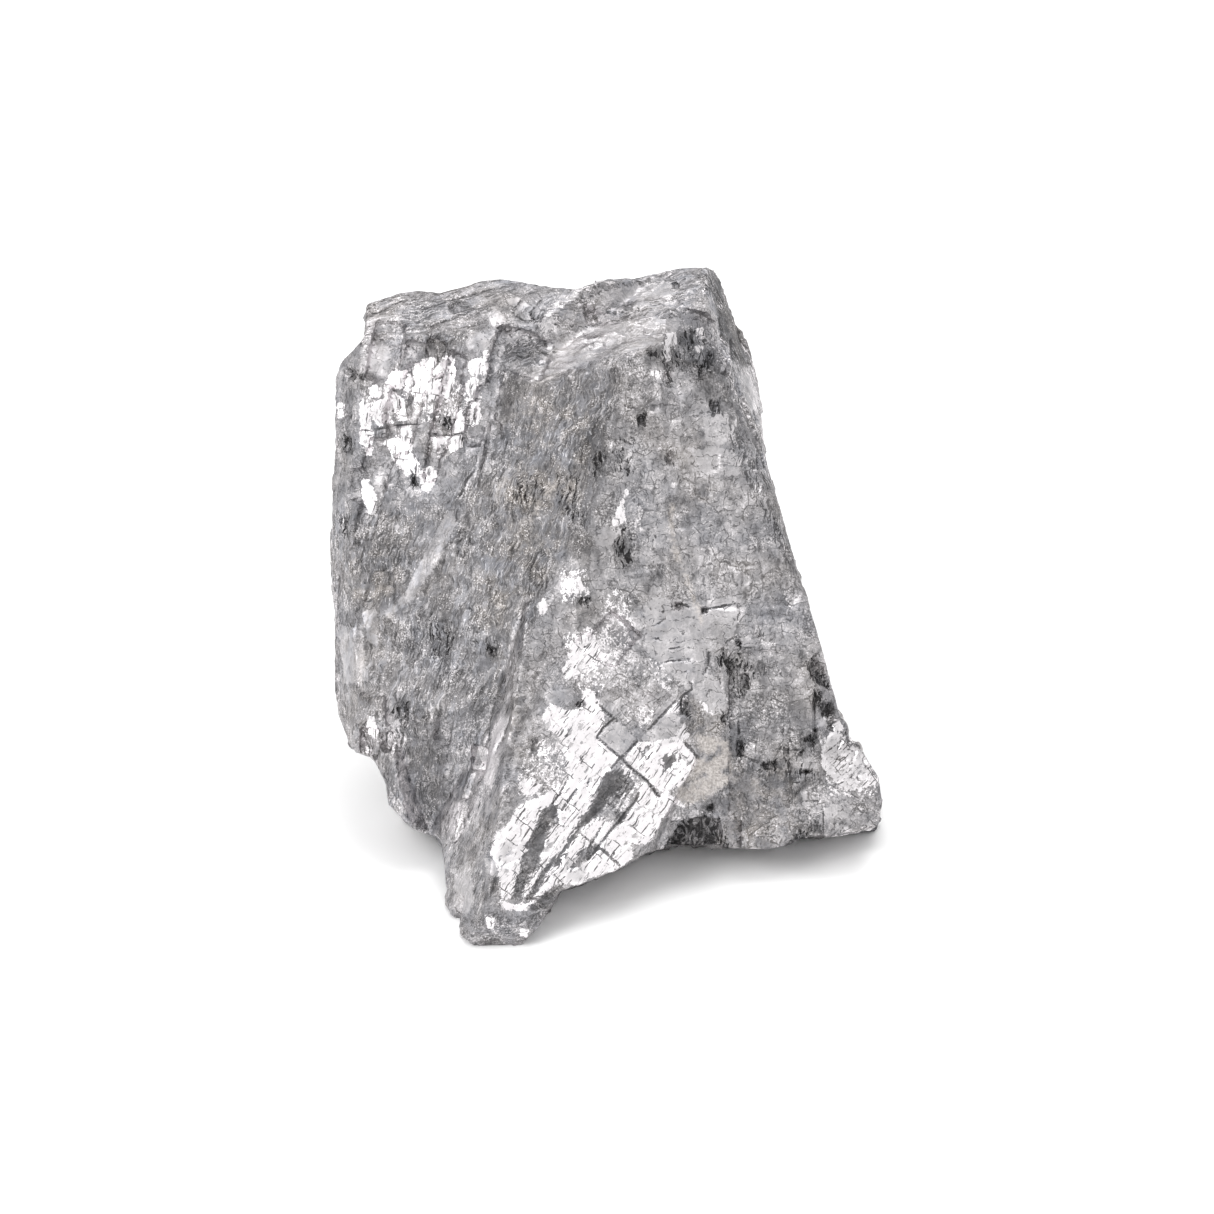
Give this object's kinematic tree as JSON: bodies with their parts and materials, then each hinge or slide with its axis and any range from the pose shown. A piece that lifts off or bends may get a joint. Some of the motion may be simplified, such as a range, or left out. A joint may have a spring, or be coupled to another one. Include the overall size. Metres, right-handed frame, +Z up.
{
  "type": "raw galena stone",
  "caption": "Broken lump of raw galena: a wedge of stepped, striated metallic grey cleavage blocks that stands on its rough underside.",
  "frame": {"origin": "middle of the stone's bounding box, on the plane it rests on", "axes": "+X to the right of the broad cleaved face, +Y to the back, +Z up; the broad face looks to -Y and leans back by about 30 degrees"},
  "size_m": [0.0416, 0.0378, 0.0384],
  "materials": {
    "galena": "lead-grey metallic cleavage, mirror bright on fresh steps and dull where it is weathered"
  },
  "bodies": {
    "root": {"galena": "galena"}
  },
  "joints": []
}
